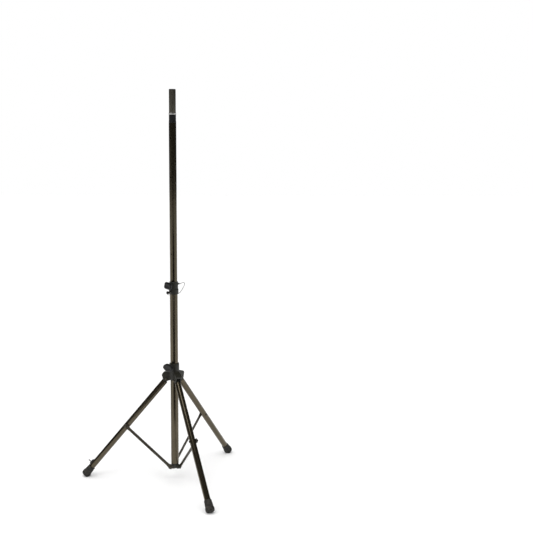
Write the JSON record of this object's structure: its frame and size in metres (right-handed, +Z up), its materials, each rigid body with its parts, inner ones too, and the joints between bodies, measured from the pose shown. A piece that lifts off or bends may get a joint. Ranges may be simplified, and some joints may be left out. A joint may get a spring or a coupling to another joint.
{
  "type": "speaker tripod stand",
  "caption": "Folding tripod stand for a loudspeaker: telescoping black mast with clamp knobs and a lanyard pin, legs folded by a sliding hub and struts, and a levelling foot.",
  "frame": {"origin": "the point on the floor straight under the mast's axis", "axes": "+Z up along the mast; -Y along the front leg; +X to the right when the front leg points at you"},
  "size_m": [0.8926, 0.7789, 2.082],
  "materials": {
    "mast_tube": "satin black anodised",
    "outer_tube": "satin warm black anodised",
    "casting": "black painted die casting",
    "black_plastic": "satin black moulding",
    "rubber": "matt black",
    "bright_steel": "bright plated",
    "black_steel": "black plated",
    "nylon_guide": "matt dark nylon",
    "wire": "stranded wire"
  },
  "bodies": {
    "stand": {"main_tube": "outer_tube", "mast_collar": "casting", "collar_bush": "nylon_guide", "lanyard_screw": "bright_steel", "lanyard_wire": "wire", "bottom_bracket": "casting", "bracket_pin_front": "black_steel", "bracket_pin_right": "black_steel", "bracket_pin_left": "black_steel"},
    "mast_glide": {"mast_glide": "nylon_guide"},
    "mast": {"inner_mast": "mast_tube", "speaker_spigot": "mast_tube", "trim_ring": "bright_steel", "spigot_shoulder": "black_plastic", "spigot_cap": "black_plastic"},
    "mast_clamp_pad": {"mast_clamp_pad": "nylon_guide"},
    "mast_clamp": {"mast_clamp_screw": "black_steel", "mast_clamp_knob": "black_plastic"},
    "lock_pin": {"lock_pin": "bright_steel", "lock_pin_knob": "black_plastic", "lanyard_ring": "bright_steel"},
    "hub": {"hub_body": "casting", "leg_pivot_bolt_front": "black_steel", "leg_pivot_nut_front": "black_steel", "leg_pivot_bolt_right": "black_steel", "leg_pivot_nut_right": "black_steel", "leg_pivot_bolt_left": "black_steel", "leg_pivot_nut_left": "black_steel"},
    "hub_clamp_pad": {"hub_clamp_pad": "nylon_guide"},
    "hub_clamp": {"hub_clamp_screw": "black_steel", "hub_clamp_knob": "black_plastic"},
    "strut_front": {"strut_front": "black_steel"},
    "strut_right": {"strut_right": "black_steel"},
    "strut_left": {"strut_left": "black_steel"},
    "leg_front": {"leg_tube_front": "outer_tube", "leg_lug_front": "casting", "leg_foot_front": "rubber", "strut_washer_front": "nylon_guide", "strut_bolt_front": "black_steel", "strut_nut_front": "black_steel"},
    "leg_right": {"leg_tube_right": "outer_tube", "leg_lug_right": "casting", "leg_foot_right": "rubber", "strut_washer_right": "nylon_guide", "strut_bolt_right": "black_steel", "strut_nut_right": "black_steel"},
    "leg_left": {"leg_tube_left": "outer_tube", "leg_lug_left": "casting", "levelling_pin_housing": "black_plastic", "levelling_spring": "bright_steel", "strut_washer_left": "nylon_guide", "strut_bolt_left": "black_steel", "strut_nut_left": "black_steel"},
    "levelling_leg": {"levelling_inner_leg": "mast_tube", "leg_foot_left": "rubber"},
    "levelling_pin": {"levelling_pin": "bright_steel"}
  },
  "joints": [
    {"name": "mast_slide", "type": "slide", "parent": "stand", "child": "mast_glide", "axis": [0, 0, 1], "range_m": [-0.8, 0]},
    {"name": "mast_turn", "type": "hinge", "parent": "mast_glide", "child": "mast", "pos_m": [0, 0, 1], "axis": [0, 0, 1], "continuous": true},
    {"name": "mast_clamp_pad_slide", "type": "slide", "parent": "stand", "child": "mast_clamp_pad", "axis": [-0.866, -0.5, 0], "range_m": [0, 0.00187]},
    {"name": "mast_clamp_turn", "type": "hinge", "parent": "mast_clamp_pad", "child": "mast_clamp", "pos_m": [0, 0, 1.07], "axis": [-0.866, -0.5, 0], "range_deg": [0, 540]},
    {"name": "lock_pin_pull", "type": "slide", "parent": "stand", "child": "lock_pin", "axis": [-0.866, -0.5, 0], "range_m": [0, 0.045]},
    {"name": "strut_fold_front", "type": "hinge", "parent": "stand", "child": "strut_front", "pos_m": [0, -0.021, 0.073], "axis": [-1, 0, 0], "range_deg": [0, 38.4]},
    {"name": "strut_fold_right", "type": "hinge", "parent": "stand", "child": "strut_right", "pos_m": [0.01819, 0.0105, 0.073], "axis": [0.5, -0.866, 0], "range_deg": [0, 38.5]},
    {"name": "strut_fold_left", "type": "hinge", "parent": "stand", "child": "strut_left", "pos_m": [-0.01819, 0.0105, 0.073], "axis": [0.5, 0.866, 0], "range_deg": [0, 38.5]},
    {"name": "leg_fold_front", "type": "hinge", "parent": "strut_front", "child": "leg_front", "pos_m": [0, -0.25945, 0.29479], "axis": [1, 0, 0], "range_deg": [0, 72.7]},
    {"name": "leg_fold_right", "type": "hinge", "parent": "strut_right", "child": "leg_right", "pos_m": [0.22469, 0.12972, 0.29479], "axis": [-0.5, 0.866, 0], "range_deg": [0, 72.7]},
    {"name": "leg_fold_left", "type": "hinge", "parent": "strut_left", "child": "leg_left", "pos_m": [-0.22469, 0.12972, 0.29479], "axis": [-0.5, -0.866, 0], "range_deg": [0, 72.7]},
    {"name": "hub_upright", "type": "hinge", "parent": "leg_front", "child": "hub", "pos_m": [0, -0.04, 0.561], "axis": [-1, 0, 0], "range_deg": [0, 34.3]},
    {"name": "hub_clamp_pad_slide", "type": "slide", "parent": "hub", "child": "hub_clamp_pad", "axis": [-0.866, -0.5, 0], "range_m": [0, 0.00187]},
    {"name": "hub_clamp_turn", "type": "hinge", "parent": "hub_clamp_pad", "child": "hub_clamp", "pos_m": [0, 0, 0.631], "axis": [-0.866, -0.5, 0], "range_deg": [0, 540]},
    {"name": "levelling_extend", "type": "slide", "parent": "leg_left", "child": "levelling_leg", "axis": [-0.5509, 0.318, -0.7716], "range_m": [0, 0.15]},
    {"name": "levelling_pin_drop", "type": "slide", "parent": "leg_left", "child": "levelling_pin", "axis": [-0.6682, 0.3858, 0.6361], "range_m": [-0.0025, 0]}
  ],
  "couplings": [
    {"joint": "mast_clamp_turn", "follows": "mast_clamp_pad_slide", "rad_per_m": 5026.5},
    {"joint": "hub_clamp_turn", "follows": "hub_clamp_pad_slide", "rad_per_m": 5026.5},
    {"joint": "strut_fold_right", "follows": "strut_fold_front", "ratio": 1},
    {"joint": "strut_fold_left", "follows": "strut_fold_front", "ratio": 1},
    {"joint": "leg_fold_front", "follows": "strut_fold_front", "ratio": 1.8901},
    {"joint": "leg_fold_right", "follows": "strut_fold_front", "ratio": 1.8901},
    {"joint": "leg_fold_left", "follows": "strut_fold_front", "ratio": 1.8901},
    {"joint": "hub_upright", "follows": "strut_fold_front", "ratio": 0.8901}
  ]
}
